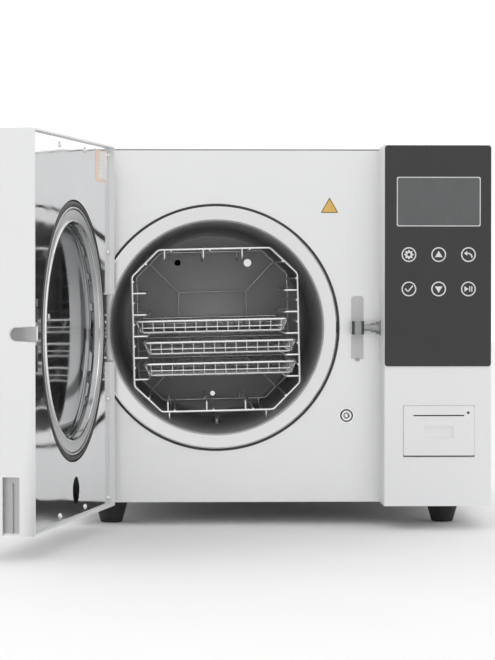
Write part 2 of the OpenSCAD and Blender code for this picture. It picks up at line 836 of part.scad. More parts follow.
// Octagon through the rack's corners, moved outwards by grow
module octagon(grow) {
  w = rack_half + grow;
  h = rack_top + grow;
  cx = corner_x + grow * tan(22.5);
  cz = corner_z + grow * tan(22.5);
  polygon([[cx, h], [w, cz], [w, -cz], [cx, -h], [-cx, -h], [-w, -cz], [-w, cz], [-cx, h]]);
}

module rack_hoop(y) {
  plate_y(y, y + wire) difference() {
    octagon(wire / 2);
    octagon(-wire / 2);
  }
}

// Straight bar of square section between two points in a plane of constant y
module flat_bar(from, to, y) {
  run = to - from;
  translate([from[0], y, from[1]]) rotate([0, -atan2(run[1], run[0]), 0])
    translate([-wire / 2, 0, -wire / 2]) cube([norm(run) + wire, wire, wire]);
}

// Rail bent like a U, lying level, from the front hoop to the rear one
module side_rail(z, side) {
  translate([0, 0, z - wire / 2]) linear_extrude(wire) scale([side, 1]) difference() {
    translate([rail_in, rack_y0]) square([rack_half - rail_in, rack_l]);
    translate([rail_in + wire, rack_y0 + wire]) square([rack_half, rack_l - 2 * wire]);
  }
}

// The same rail standing on end, for the rack's other way up
module end_rail(x, side) {
  z0 = side > 0 ? rack_top - peg_l : -rack_top;
  difference() {
    box([x - wire / 2, rack_y0, z0], [x + wire / 2, rack_y1, z0 + peg_l]);
    box([x - wire, rack_y0 + wire, side > 0 ? z0 + wire : z0 - bite],
        [x + wire, rack_y1 - wire, side > 0 ? z0 + peg_l + bite : z0 + peg_l - wire]);
  }
}

module tray_rack() in_rack() color("silver") {
  stay_z = [for (i = [0 : 4]) rail_levels[i] + rail_pitch / 2 + 1];
  rack_hoop(rack_y0);
  rack_hoop(rack_y1 - wire);
  for (z = rail_levels, side = [-1, 1]) side_rail(z, side);
  for (x = peg_x, side = [-1, 1]) end_rail(x, side);
  for (z = stay_z, x = [-rack_half, rack_half])
    box([x - wire / 2, rack_y0, z - wire / 2], [x + wire / 2, rack_y1, z + wire / 2]);
  for (x = [-51, -5, 42], z = [-rack_top, rack_top])
    box([x - wire / 2, rack_y0, z - wire / 2], [x + wire / 2, rack_y1, z + wire / 2]);
  for (sx = [-1, 1], sz = [-1, 1]) {
    flat_bar([sx * stop_x, sz * stop_z], [sx * 79.5, sz * 81], rack_y1 - wire);
    box([sx * 82 - wire / 2, rack_y0, sz * 80.5 - wire / 2],
        [sx * 82 + wire / 2, rack_y1, sz * 80.5 + wire / 2]);
  }
  for (sz = [-1, 1])
    flat_bar([-stop_x, sz * stop_z], [stop_x, sz * stop_z], rack_y1 - wire);
  for (sx = [-1, 1]) {
    flat_bar([sx * stop_x, -stop_z], [sx * stop_x, stop_z], rack_y1 - wire);
    box([sx * runner_x - wire / 2, rack_y0, runner_z - wire / 2],
        [sx * runner_x + wire / 2, rack_y1, runner_z + wire / 2]);
    for (y = [rack_y0, rack_y1 - wire])
      flat_bar([sx * runner_x, runner_z], [sx * runner_x, runner_z + 8], y);
  }
}

// Upright mesh wall along X, with its outer face at y = 0
module tray_wall(length, columns) {
  translate([-length / 2, tray_bar, 0]) rotate([90, 0, 0])
    linear_extrude(tray_bar) mesh_2d([length, tray_h], columns, 1, tray_bar);
}

module tray(i) in_rack() color("silver") {
  floor_w = tray_w - wire;
  floor_l = tray_l - wire;
  translate([tray_shift[i], tray_y + tray_l / 2, tray_levels[i]]) {
    translate([-floor_w / 2, -floor_l / 2, 0]) linear_extrude(tray_bar)
      mesh_2d([floor_w, floor_l], 7, 11, tray_bar);
    translate([0, 0, tray_h - wire / 2]) linear_extrude(wire) difference() {
      square([tray_w, tray_l], center = true);
      square([tray_w - 2 * wire, tray_l - 2 * wire], center = true);
    }
    for (a = [0, 180]) rotate([0, 0, a]) translate([0, -floor_l / 2, 0]) tray_wall(floor_w, 7);
    for (a = [90, 270]) rotate([0, 0, a]) translate([0, -floor_w / 2, 0]) tray_wall(floor_l, 11);
  }
}

module tray_upper() tray(0);

module tray_middle() tray(1);

module tray_lower() tray(2);

// ---------------------------------------------------------------- parts

base_pan();
front_panel();
casing();
rear_panel();
control_column();
control_overlay();
display_window();
touch_keys();
control_board();
printer_housing();
print_head();
paper_roll();
printer_cover();
pressure_vessel();
vessel_seal_ring();
insulation_jacket();
band_heater();
chamber_ports();
drain_strainer();
steam_generator();
vacuum_pump();
condenser_coil();
fan_frame();
fan_rotor();
solenoid_valves();
water_tank();
tank_lid();
power_board();
safety_valve();
air_filter();
steam_pipe();
drain_pipe();
keeper_plate();
keeper_block();
strike_bolt();
drain_coupler();
hot_mark();
feet();
hinge_bracket();
hinge_pin();
mains_inlet();
power_switch();
hose_barbs();
panel_screws();
door_shell();
door_plate();
pressure_plate();
door_gasket();
door_beam();
hinge_bushes();
plate_pivot();
plate_screws();
door_label();
latch_guide();
latch_handle();
latch_tongue();
tray_rack();
tray_upper();
tray_middle();
tray_lower();
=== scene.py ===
import json
import math

import bmesh
import bpy
from mathutils import Matrix, Vector


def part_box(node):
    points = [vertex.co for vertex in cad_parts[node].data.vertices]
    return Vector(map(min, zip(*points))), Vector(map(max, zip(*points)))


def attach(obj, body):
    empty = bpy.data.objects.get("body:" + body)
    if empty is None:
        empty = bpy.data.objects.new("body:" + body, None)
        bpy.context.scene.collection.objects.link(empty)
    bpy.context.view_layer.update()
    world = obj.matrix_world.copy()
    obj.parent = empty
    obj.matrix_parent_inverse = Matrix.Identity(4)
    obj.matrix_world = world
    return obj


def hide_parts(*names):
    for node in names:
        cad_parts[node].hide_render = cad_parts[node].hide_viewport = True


# ---------------------------------------------------------------- frame

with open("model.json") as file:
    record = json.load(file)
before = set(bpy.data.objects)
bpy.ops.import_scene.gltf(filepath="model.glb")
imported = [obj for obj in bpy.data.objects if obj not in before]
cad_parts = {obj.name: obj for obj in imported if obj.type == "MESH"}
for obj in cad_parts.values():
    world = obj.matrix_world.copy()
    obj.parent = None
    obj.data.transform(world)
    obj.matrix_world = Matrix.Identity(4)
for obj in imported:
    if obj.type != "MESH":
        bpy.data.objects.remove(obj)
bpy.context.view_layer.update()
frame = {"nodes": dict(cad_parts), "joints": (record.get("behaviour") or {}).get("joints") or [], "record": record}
NODES = frame["nodes"]
SLOT_OF = {part["node"]: part["material_slot"] for part in frame["record"]["subparts"]}
JOINTS = {joint["name"]: joint for joint in frame["joints"]}
BODIES = frame["record"]["behaviour"]["bodies"]
BODY_OF = {node: body for body, nodes in BODIES.items() for node in nodes}
MM = 0.001

# The cabinet's front left lower corner, where the sizes below are counted from
CORNER = Vector((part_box("casing")[0].x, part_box("front_panel")[0].y, 0.0))
vessel_low, vessel_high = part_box("pressure_vessel")
# The chamber's axis, in the plane of the front panel
AXIS = Vector(((vessel_low.x + vessel_high.x) / 2, CORNER.y, (vessel_low.z + vessel_high.z) / 2))
FLANGE_R = (vessel_high.x - vessel_low.x) / 2
FLANGE_W = 16.5
HINGE = Vector(JOINTS["door_swing"]["pos_m"])
SHUT = math.radians(JOINTS["door_swing"]["range_deg"][0])
# Takes a shape drawn with the door shut to where the door stands open
OPEN_DOOR = Matrix.Translation(HINGE) @ Matrix.Rotation(SHUT, 4, "Z") @ Matrix.Translation(-HINGE)
# Takes a place in the rack, in millimetres from its middle, into the frame
RACK_TILT = math.radians(1.3)
RACK_DROP = 3.0
RACK = Matrix.Translation(AXIS) @ Matrix.Rotation(-RACK_TILT, 4, "Y")
RACK = RACK @ Matrix.Translation((0, 0, -RACK_DROP * MM)) @ Matrix.Scale(MM, 4)


def at(x, y, z):
    """A point in millimetres from the cabinet's corner, as a place in the frame."""
    return CORNER + Vector((x, y, z)) * MM


def from_corner(point):
    """A place in the frame, as millimetres from the cabinet's corner."""
    return (point - CORNER) / MM


# ---------------------------------------------------------------- shader nodes


def maths(tree, operation, *values):
    """A Math node's output. A value is a number or another node's output."""
    node = tree.nodes.new("ShaderNodeMath")
    node.operation = operation
    for socket, value in zip(node.inputs, values):
        if isinstance(value, float):
            socket.default_value = value
        else:
            tree.links.new(value, socket)
    return node.outputs[0]


def mapped(tree, source, low, high, interpolation="LINEAR"):
    """0 to 1 as the source goes from low to high."""
    node = tree.nodes.new("ShaderNodeMapRange")
    node.interpolation_type = interpolation
    node.inputs["From Min"].default_value = low
    node.inputs["From Max"].default_value = high
    tree.links.new(source, node.inputs["Value"])
    return node.outputs["Result"]


# ---------------------------------------------------------------- camera and light

CAMERA_PLACE = (-0.0566, -2.9588, 0.285)
CAMERA_LOOK = Vector((0.0262515, 1, -0.0191290))
CAMERA_LENS = 134
WORLD_STRENGTH = 1.25
FLOOR_GREY, SKY_RISE, GLOW_BEHIND = 0.66, 0.26, 0.4
CARD_DARKNESS = 0.72


def add_camera():
    """Stands where the photo was taken from, nearly level with the chamber."""
    data = bpy.data.cameras.new("photo_camera")
    data.sensor_fit = "VERTICAL"
    data.sensor_height = 36
    data.lens = CAMERA_LENS
    camera = bpy.data.objects.new("photo_camera", data)
    camera.location = CAMERA_PLACE
    camera.rotation_euler = CAMERA_LOOK.to_track_quat("-Z", "Y").to_euler()
    bpy.context.scene.collection.objects.link(camera)
    bpy.context.scene.camera = camera


def add_light(name, place, target, size, power):
    data = bpy.data.lights.new(name, "AREA")
    data.shape = "RECTANGLE"
    data.size, data.size_y = size
    data.energy = power
    light = bpy.data.objects.new(name, data)
    light.location = place
    light.rotation_euler = (Vector(target) - Vector(place)).to_track_quat("-Z", "Y").to_euler()
    bpy.context.scene.collection.objects.link(light)


def add_world():
    """A light tent: white behind the object, greyer low down, with two dark cards in front."""
    world = bpy.data.worlds.new("studio")
    bpy.context.scene.world = world
    world.use_nodes = True
    tree = world.node_tree
    background = tree.nodes["Background"]
    background.inputs["Strength"].default_value = WORLD_STRENGTH
    place = tree.nodes.new("ShaderNodeTexCoord")
    split = tree.nodes.new("ShaderNodeSeparateXYZ")
    tree.links.new(place.outputs["Generated"], split.inputs[0])

    def eased(source, low, high):
        return mapped(tree, source, low, high, "SMOOTHSTEP")

    height = maths(tree, "MULTIPLY", eased(split.outputs["Z"], -0.35, 0.45), SKY_RISE)
    height = maths(tree, "ADD", height, FLOOR_GREY)
    behind = maths(tree, "MULTIPLY", eased(split.outputs["Y"], 0.2, 0.75), GLOW_BEHIND)
    light = maths(tree, "MINIMUM", maths(tree, "ADD", height, behind), 0.99)
    # Each card covers about 0.55 to 1 radian to one side of the front
    ahead = maths(tree, "MULTIPLY", split.outputs["Y"], -1.0)
    aside = maths(tree, "ABSOLUTE", maths(tree, "ARCTAN2", split.outputs["X"], ahead))
    card = maths(tree, "MULTIPLY", eased(aside, 0.50, 0.60), eased(aside, 1.05, 0.90))
    shade = maths(tree, "SUBTRACT", 1.0, maths(tree, "MULTIPLY", card, CARD_DARKNESS))
    light = maths(tree, "MULTIPLY", light, shade)
    tree.links.new(light, background.inputs["Color"])


add_camera()
add_world()
add_light("key", (-1.4, -2.6, 2.2), (0.05, 0, 0.2), (1.6, 1.2), 11)
add_light("fill", (2.2, -1.8, 1.3), (0, 0, 0.2), (1.4, 1.4), 5)
bpy.context.scene.view_settings.view_transform = "Standard"

# ---------------------------------------------------------------- materials


def material(name, colour, metallic, roughness, **sockets):
    """A Principled material. Further sockets are given by name, with _ for a blank."""
    made = bpy.data.materials.new(name)
    made.use_nodes = True
    shader = made.node_tree.nodes["Principled BSDF"]
    shader.inputs["Base Color"].default_value = (*colour, 1)
    shader.inputs["Metallic"].default_value = metallic
    shader.inputs["Roughness"].default_value = roughness
    for socket, value in sockets.items():
        shader.inputs[socket.replace("_", " ")].default_value = value
    return made


def noise(made, scale, stretch=(1, 1, 1), detail=3):
    """Noise over the object's own coordinates, scale in waves per metre."""
    nodes, links = made.node_tree.nodes, made.node_tree.links
    place = nodes.new("ShaderNodeTexCoord")
    mapping = nodes.new("ShaderNodeMapping")
    mapping.inputs["Scale"].default_value = stretch
    texture = nodes.new("ShaderNodeTexNoise")
    texture.inputs["Scale"].default_value = scale
    texture.inputs["Detail"].default_value = detail
    links.new(place.outputs["Object"], mapping.inputs["Vector"])
    links.new(mapping.outputs["Vector"], texture.inputs["Vector"])
    return texture.outputs["Fac"]


def stops(made, source, *steps):
    """Colour that passes through the steps, each a place from 0 to 1 and a colour."""
    node = made.node_tree.nodes.new("ShaderNodeValToRGB")
    elements = node.color_ramp.elements
    for element, (place, colour) in zip(elements, (steps[0], steps[-1])):
        element.position = place
        element.color = (*colour, 1)
    for place, colour in steps[1:-1]:
        elements.new(place).color = (*colour, 1)
    made.node_tree.links.new(source, node.inputs["Fac"])
    return node.outputs["Color"]


def ramp(made, source, low, high, start=0.3, end=0.7):
    """Colour from low to high as the source goes from start to end."""
    return stops(made, source, (start, low), (end, high))


def grey(value):
    return (value, value, value)


def into(made, socket, source):
    made.node_tree.links.new(source, made.node_tree.nodes["Principled BSDF"].inputs[socket])


def bump(made, source, strength, depth):
    """Bump from a source, depth in metres."""
    node = made.node_tree.nodes.new("ShaderNodeBump")
    node.inputs["Strength"].default_value = strength
    node.inputs["Distance"].default_value = depth
    made.node_tree.links.new(source, node.inputs["Height"])
    into(made, "Normal", node.outputs["Normal"])


def powder_coat(name, colour, roughness=0.4):
    """White coat with a fine orange peel and the faintest change of tone."""
    made = material(name, colour, 0.0, roughness, Coat_Weight=0.15, Coat_Roughness=0.3)
    tone = noise(made, 9, detail=2)
    into(made, "Base Color", ramp(made, tone, [c * 0.975 for c in colour], colour))
    into(made, "Roughness", ramp(made, noise(made, 60), grey(roughness - 0.05), grey(roughness + 0.06)))
    bump(made, noise(made, 900, detail=2), 0.12, 0.0002)
    return made


def brushed(name, colour, roughness, stretch):
    """Metal brushed along one axis: fine noise drawn out along it."""
    made = material(name, colour, 1.0, roughness)
    grain = noise(made, 1500, stretch, detail=2)
    into(made, "Base Color", ramp(made, noise(made, 5, detail=2), [c * 0.94 for c in colour], colour))
    into(made, "Roughness", ramp(made, grain, grey(roughness * 0.8), grey(roughness * 1.25)))
    bump(made, grain, 0.25, 0.00003)
    return made


def polished(name, colour, roughness, wave=0.0):
    """Polished metal, with smears in its gloss and, if asked, a slightly wavy surface."""
    made = material(name, colour, 1.0, roughness)
    into(made, "Roughness", ramp(made, noise(made, 25), grey(roughness * 0.6), grey(roughness * 1.7)))
    into(made, "Base Color", ramp(made, noise(made, 7, detail=2), [c * 0.96 for c in colour], colour))
    if wave:
        bump(made, noise(made, 11, detail=1), 1.0, wave)
    return made


def moulded(name, colour, roughness, grain=1400, depth=0.00015, **sockets):
    """Moulded plastic or rubber with a fine texture."""
    made = material(name, colour, 0.0, roughness, **sockets)
    into(made, "Base Color", ramp(made, noise(made, 30), [c * 0.88 for c in colour], colour))
    rough = ramp(made, noise(made, 90), grey(roughness * 0.85), grey(min(1, roughness * 1.15)))
    into(made, "Roughness", rough)
    bump(made, noise(made, grain, detail=2), 0.3, depth)
    return made


def turned_steel():
    """The vessel: a bright turned flange, and a duller inside whose colour carries painted light about its axis
    that darkens to painted shade towards the chamber wall.
    """
    made = material("chamber_steel", grey(0.5), 1.0, 0.3)
    tree = made.node_tree
    place = tree.nodes.new("ShaderNodeTexCoord")
    offset = tree.nodes.new("ShaderNodeVectorMath")
    offset.operation = "SUBTRACT"
    offset.inputs[1].default_value = AXIS
    split = tree.nodes.new("ShaderNodeSeparateXYZ")
    tree.links.new(place.outputs["Object"], offset.inputs[0])
    tree.links.new(offset.outputs["Vector"], split.inputs[0])
    squares = [maths(tree, "POWER", split.outputs[axis], 2.0) for axis in "XZ"]
    radius = maths(tree, "SQRT", maths(tree, "ADD", *squares))

    inside = FLANGE_R - FLANGE_W * MM
    flange = inside + 1.5 * MM
    # Painted light at the axis and painted shade darkening out to the chamber wall, then the flange's own tone
    painted_light_shade_and_flange_tones = [(0, 1.0), (0.6 * inside, 0.62), (inside, 0.5), (flange, 0.74), (FLANGE_R, 0.74)]
    steps = [(r / FLANGE_R, grey(tone)) for r, tone in painted_light_shade_and_flange_tones]
    into(made, "Base Color", stops(made, mapped(tree, radius, 0.0, FLANGE_R), *steps))
    share = mapped(tree, radius, inside, flange)
    into(made, "Metallic", ramp(made, share, grey(0.45), grey(1.0), 0.0, 1.0))
    into(made, "Roughness", ramp(made, share, grey(0.5), grey(0.2), 0.0, 1.0))

    rings = tree.nodes.new("ShaderNodeTexNoise")
    rings.noise_dimensions = "1D"
    rings.inputs["Scale"].default_value = 900
    tree.links.new(radius, rings.inputs["W"])
    bump(made, rings.outputs["Fac"], 0.2, 0.00003)
    return made


def felt():
    made = material("insulation", (0.7, 0.64, 0.46), 0.0, 0.95, Sheen_Weight=0.4)
    into(made, "Base Color", ramp(made, noise(made, 120), (0.6, 0.54, 0.38), (0.76, 0.7, 0.52)))
    bump(made, noise(made, 700, detail=5), 0.8, 0.0006)
    return made


MATERIALS = {
    "white_paint": powder_coat("white_paint", (0.8, 0.803, 0.81)),
    "white_plastic": powder_coat("white_plastic", (0.8, 0.803, 0.81), 0.36),
    "panel_steel": brushed("panel_steel", (0.8, 0.803, 0.808), 0.36, (0.02, 1, 1)),
    "mirror_steel": polished("mirror_steel", (0.86, 0.865, 0.87), 0.07, 0.0012),
    "chamber_steel": turned_steel(),
    "chrome": polished("chrome", (0.84, 0.845, 0.85), 0.1),
    # A darkened copy of chrome: painted shade for the recess wall and the dish inside the door's ring
    "dark_chrome": polished("dark_chrome", (0.31, 0.315, 0.32), 0.05),
    "wire_steel": polished("wire_steel", (0.92, 0.92, 0.92), 0.26),
    "keeper_steel": brushed("keeper_steel", grey(0.55), 0.42, (1, 1, 0.03)),
    "overlay": moulded(
        "overlay", (0.02, 0.02, 0.021), 0.22, 500, 0.00002, Coat_Weight=0.12, Coat_Roughness=0.1
    ),
    "display": moulded(
        "display", (0.085, 0.09, 0.092), 0.24, 500, 0.00002, Coat_Weight=0.5, Coat_Roughness=0.08
    ),
    "key_print": moulded("key_print", (0.74, 0.745, 0.75), 0.5),
    "rubber": moulded("rubber", grey(0.022), 0.62, 1100, 0.0003),
    "gasket": moulded("gasket", grey(0.032), 0.45, 800, 0.0001),
    "dark_plastic": moulded("dark_plastic", grey(0.035), 0.45),
    "board": moulded("board", (0.015, 0.12, 0.045), 0.35, 700, 0.0002),
    "brass": brushed("brass", (0.75, 0.56, 0.27), 0.28, (1, 0.05, 1)),
    "copper": polished("copper", (0.82, 0.47, 0.32), 0.25),
    "insulation": felt(),
    "tank_plastic": moulded("tank_plastic", (0.78, 0.81, 0.83), 0.32, 300, 0.0002),
    "machine_paint": powder_coat("machine_paint", (0.09, 0.1, 0.11), 0.45),
    "paper": moulded("paper", (0.84, 0.84, 0.82), 0.85, 2500, 0.0001),
    "label": moulded("label", (0.86, 0.66, 0.56), 0.5, 1600, 0.00005),
    "mark": moulded("mark", (0.82, 0.52, 0.12), 0.4, 1600, 0.00005),
}

for name, node in NODES.items():
    node.data.materials.clear()
    node.data.materials.append(MATERIALS[SLOT_OF[name]])

# ---------------------------------------------------------------- making pieces


def finish_piece(piece, body, slot, *replaced):
    """Gives a new piece its material, its body and the CAD nodes that it stands for."""
    bpy.context.scene.collection.objects.link(piece)
    piece.data.materials.append(MATERIALS[slot])
    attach(piece, body)
    if replaced:
        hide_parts(*replaced)
    return piece


def smooth(mesh):
    """Smooth shading, with the sharper edges kept crisp."""
    for polygon in mesh.polygons:
        polygon.use_smooth = True
    mesh.set_sharp_from_angle(angle=math.radians(32))


def softened(node, width, shortest, segments=3):
    """A copy of a CAD node with its long sharp edges rounded, which stands for the node."""
    mesh = NODES[node].data.copy()
    mesh.materials.clear()
    shape = bmesh.new()
    shape.from_mesh(mesh)
    bmesh.ops.remove_doubles(shape, verts=shape.verts, dist=1e-6)
    bmesh.ops.dissolve_limit(shape, angle_limit=math.radians(0.5), verts=shape.verts, edges=shape.edges)
    sharp = [
        edge
        for edge in shape.edges
        if len(edge.link_faces) == 2
        and edge.calc_length() > shortest * MM
        and edge.calc_face_angle() > math.radians(50)
    ]
    bmesh.ops.bevel(
        shape,
        geom=sharp,
        offset=width * MM,
        segments=segments,
        profile=0.5,
        affect="EDGES",
        clamp_overlap=True,
    )
    bmesh.ops.triangulate(shape, faces=[face for face in shape.faces if len(face.verts) > 4])
    shape.to_mesh(mesh)
    shape.free()
    smooth(mesh)
    piece = bpy.data.objects.new(node + "_shell", mesh)
    finish_piece(piece, BODY_OF[node], SLOT_OF[node], node)
    weighted = piece.modifiers.new("weighted", "WEIGHTED_NORMAL")
    weighted.keep_sharp = True
    return piece


def filleted(points, radius, closed=False, steps=5):
    """A line through the points with each corner turned into an arc."""
    points = [Vector(p) for p in points]
    count = len(points)
    result = []
    for i, corner in enumerate(points):
        if not closed and i in (0, count - 1):
            result.append(corner)
            continue
        back, ahead = points[i - 1] - corner, points[(i + 1) % count] - corner
        half = back.angle(ahead) / 2
        reach = min(radius / math.tan(half), 0.45 * back.length, 0.45 * ahead.length)
        curve_r = reach * math.tan(half)
        centre = corner + (back.normalized() + ahead.normalized()).normalized() * (curve_r / math.sin(half))
        start = corner + back.normalized() * reach - centre
        end = corner + ahead.normalized() * reach - centre
        turn = start.angle(end)
        for k in range(steps + 1):
            t = k / steps
            result.append(
                centre + (start * math.sin((1 - t) * turn) + end * math.sin(t * turn)) / math.sin(turn)
            )
    return result


def wires(name, runs, radius, matrix, sides=3):
    """One piece of round wires. A run is its points, whether it closes, and its share of the radius."""
    data = bpy.data.curves.new(name, "CURVE")
    data.dimensions = "3D"
    data.bevel_depth = radius * MM
    data.bevel_resolution = sides
    data.use_fill_caps = True
    for points, closed, share in runs:
        spline = data.splines.new("POLY")
        spline.points.add(len(points) - 1)
        for point, place in zip(spline.points, points):
            point.co = (*(matrix @ Vector(place)), 1)
            point.radius = share
        spline.use_cyclic_u = closed
    return bpy.data.objects.new(name, data)


def turned(name, profile, centre, axis, steps=48, ring=False):
    """A solid of revolution from (radius, height) points in millimetres, along an axis.

    A ring's outline closes on itself. Any other outline is capped at both ends.
    """
    shape = bmesh.new()
    rows = []
    for radius, height in profile:
        if radius == 0:
            rows.append([shape.verts.new((0, 0, height * MM))])
            continue
        angles = [2 * math.pi * i / steps for i in range(steps)]
        circle = [(radius * math.cos(a), radius * math.sin(a)) for a in angles]
        rows.append([shape.verts.new(Vector((x, y, height)) * MM) for x, y in circle])
    for low, high in zip(rows, rows[1:] + rows[:1] if ring else rows[1:]):
        for i in range(steps):
            j = (i + 1) % steps
            if len(low) == 1:
                shape.faces.new((low[0], high[j], high[i]))
            elif len(high) == 1:
                shape.faces.new((low[i], low[j], high[0]))
            else:
                shape.faces.new((low[i], low[j], high[j], high[i]))
    for row, flip in ((rows[0], True), (rows[-1], False)):
        if len(row) > 1 and not ring:
            shape.faces.new(row[::-1] if flip else row)
    bmesh.ops.recalc_face_normals(shape, faces=shape.faces)
    mesh = bpy.data.meshes.new(name)
    shape.to_mesh(mesh)
    shape.free()
    mesh.transform(Matrix.Translation(centre) @ Vector(axis).to_track_quat("Z", "Y").to_matrix().to_4x4())
    smooth(mesh)
    return mesh


def prisms(name, outlines, place, low, high):
    """Straight solids from outlines of (u, v); place(u, v, w) puts them in the frame."""
    shape = bmesh.new()
    for outline in outlines:
        front = [shape.verts.new(place(u, v, low)) for u, v in outline]
        back = [shape.verts.new(place(u, v, high)) for u, v in outline]
        shape.faces.new(front)
        shape.faces.new(back[::-1])
        for i in range(len(outline)):
            j = (i + 1) % len(outline)
            shape.faces.new((front[i], back[i], back[j], front[j]))
    bmesh.ops.recalc_face_normals(shape, faces=shape.faces)
    bmesh.ops.triangulate(shape, faces=[face for face in shape.faces if len(face.verts) > 4])
    mesh = bpy.data.meshes.new(name)
    shape.to_mesh(mesh)
    shape.free()
    return bpy.data.objects.new(name, mesh)


def flat_shapes(name, outlines, front_y, depth):
    """Thin upright solids that face the front, from outlines of (x, z) in millimetres."""
    return prisms(name, outlines, lambda x, z, y: at(x, y, z), front_y, front_y + depth)


def door_shapes(name, outlines, low_y, high_y):
    """The same for the door, drawn shut."""
    return prisms(name, outlines, lambda x, z, y: OPEN_DOOR @ at(x, y, z), low_y, high_y)


def door_posts(name, outlines, low_z, high_z):
    """Upright prisms of the door, drawn shut, from outlines of (x, y) in millimetres."""
    return prisms(name, outlines, lambda x, y, z: OPEN_DOOR @ at(x, y, z), low_z, high_z)


def rectangle(x0, z0, x1, z1):
    return [(x0, z0), (x1, z0), (x1, z1), (x0, z1)]


def joined(name, meshes):
    """One object from several meshes."""
    shape = bmesh.new()
    for mesh in meshes:
        shape.from_mesh(mesh)
    mesh = bpy.data.meshes.new(name)
    shape.to_mesh(mesh)
    shape.free()
    smooth(mesh)
    return bpy.data.objects.new(name, mesh)


# ---------------------------------------------------------------- shells and covers

softened("casing", 1.2, 60)
softened("control_column", 1.0, 60)
softened("door_shell", 0.9, 30)
softened("printer_cover", 0.4, 20)
softened("tank_lid", 0.8, 30)
softened("rear_panel", 0.5, 60)
softened("latch_handle", 1.6, 7)
softened("keeper_block", 0.6, 6)
softened("mains_inlet", 0.6, 10)
softened("power_switch", 0.4, 8)

# ---------------------------------------------------------------- rack and trays

WIRE = 3.0
RACK_HALF, RACK_TOP = 98.0, 96.0
CORNER_X, CORNER_Z = 66.0, 65.0
RACK_Y0, RACK_Y1 = 18.5, 319.5
RAIL_IN = 81.0
RAIL_PITCH = 25.5
RAIL_Z = [45 - RAIL_PITCH * i for i in range(5)]
PEG_X = (-59, -13, 33)
END_STAY_X = (-51, -5, 42)
STAY_X, STAY_Z = 81.0, 79.5
PEG = 12.0
STOP_X, STOP_Z = 44.0, 44.0
RUNNER_X, RUNNER_Z = 57.5, -104.9


def hoop(y):
    """The rack's octagon, as it stands at the depth y."""
    quarter = [(CORNER_X, RACK_TOP), (RACK_HALF, CORNER_Z)]
    outline = quarter + [(x, -z) for x, z in quarter[::-1]]
    outline += [(-x, z) for x, z in outline[::-1]]
    return filleted([(x, y, z) for x, z in outline], 7, closed=True)


def there_and_back(points, front, rear, radius=4):
    """A bent wire that starts at the front hoop and ends the same way at the rear hoop."""
    return filleted(points + [(x, front + rear - y, z) for x, y, z in points[::-1]], radius)


def rack_runs():
    """Hoops, rails, pegs, stays and runners, and the stop frame at the rear with its spokes."""
    front, rear = RACK_Y0 + WIRE / 2, RACK_Y1 - WIRE / 2
    runs = [(hoop(front), True, 1.0), (hoop(rear), True, 0.85)]
    for side in (-1, 1):
        for z in RAIL_Z:
            rail = [(side * RACK_HALF, front, z), (side * RAIL_IN, front, z)]
            runs.append((there_and_back(rail, front, rear), False, 0.85))
            stay_z = z + RAIL_PITCH / 2 + 1
            stay_x = side * (RACK_HALF - 1.2)
            runs.append(([(stay_x, front - 1, stay_z), (stay_x, rear, stay_z)], False, 0.8))
        for x in PEG_X:
            peg = [(x, front, side * RACK_TOP), (x, front, side * (RACK_TOP - PEG))]
            runs.append((there_and_back(peg, front, rear), False, 0.85))
        for x in END_STAY_X:
            z = side * (RACK_TOP - 1.2)
            runs.append(([(x, front - 1, z), (x, rear, z)], False, 0.8))
        for sz in (-1, 1):
            x, z = side * STAY_X, sz * STAY_Z
            runs.append(([(x, front - 1, z), (x, rear, z)], False, 0.8))
            spoke = [(side * STOP_X, rear, sz * STOP_Z), (side * (STAY_X - 0.5), rear, sz * (STAY_Z + 2))]
            runs.append((spoke, False, 0.75))
        runner = [(side * RUNNER_X, front, RUNNER_Z + 9), (side * RUNNER_X, front, RUNNER_Z)]
        runs.append((there_and_back(runner, front, rear), False, 0.8))
    stop = [(STOP_X, STOP_Z), (STOP_X, -STOP_Z), (-STOP_X, -STOP_Z), (-STOP_X, STOP_Z)]
    runs.append((filleted([(x, rear, z) for x, z in stop], 2, closed=True), True, 0.75))
    return runs


finish_piece(wires("rack_wires", rack_runs(), WIRE / 2, RACK), "rack", "wire_steel", "tray_rack")

TRAY_W, TRAY_L, TRAY_H = 183.0, 280.0, 15.5
TRAY_Y = 24.0
TAPER = 6.0
MESH_PITCH = 12.7
MESH_R = 0.8
MESH_SHARE = MESH_R / (WIRE / 2)
MESH_MARGIN = 16


def tray_runs(centre_x, level):
    """Rim, two rings round the wall, and U-shaped wires each way that make wall and floor."""
    middle_y = TRAY_Y + TRAY_L / 2

    def place(x, y, z):
        return (centre_x + x, middle_y + y, level + z)

    def ring(z, inset, radius):
        w, l = TRAY_W / 2 - inset, TRAY_L / 2 - inset
        corners = [place(w, l, z), place(w, -l, z), place(-w, -l, z), place(-w, l, z)]
        return filleted(corners, radius, closed=True)

    half_w, half_l = TRAY_W / 2 - WIRE / 2, TRAY_L / 2 - WIRE / 2
    floor_z = MESH_R
    runs = [(ring(TRAY_H, WIRE / 2, 4.5), True, 1.0)]
    for z in (TRAY_H * 0.5, 2.6):
        inset = WIRE / 2 + TAPER * (1 - z / TRAY_H) * 0.8
        runs.append((ring(z, inset, 6), True, MESH_SHARE))
    columns = int((TRAY_W - MESH_MARGIN) / MESH_PITCH) + 1
    rows = int((TRAY_L - MESH_MARGIN) / MESH_PITCH) + 1
    for i in range(columns):
        x = (i - (columns - 1) / 2) * MESH_PITCH
        path = [place(x, -half_l, TRAY_H), place(x, TAPER - half_l, floor_z)]
        path += [place(x, half_l - TAPER, floor_z), place(x, half_l, TRAY_H)]
        runs.append((filleted(path, 4), False, MESH_SHARE))
    for j in range(rows):
        y = (j - (rows - 1) / 2) * MESH_PITCH
        path = [place(-half_w, y, TRAY_H), place(TAPER - half_w, y, floor_z + MESH_R)]
        path += [place(half_w - TAPER, y, floor_z + MESH_R), place(half_w, y, TRAY_H)]
        runs.append((filleted(path, 5), False, MESH_SHARE))
    return runs


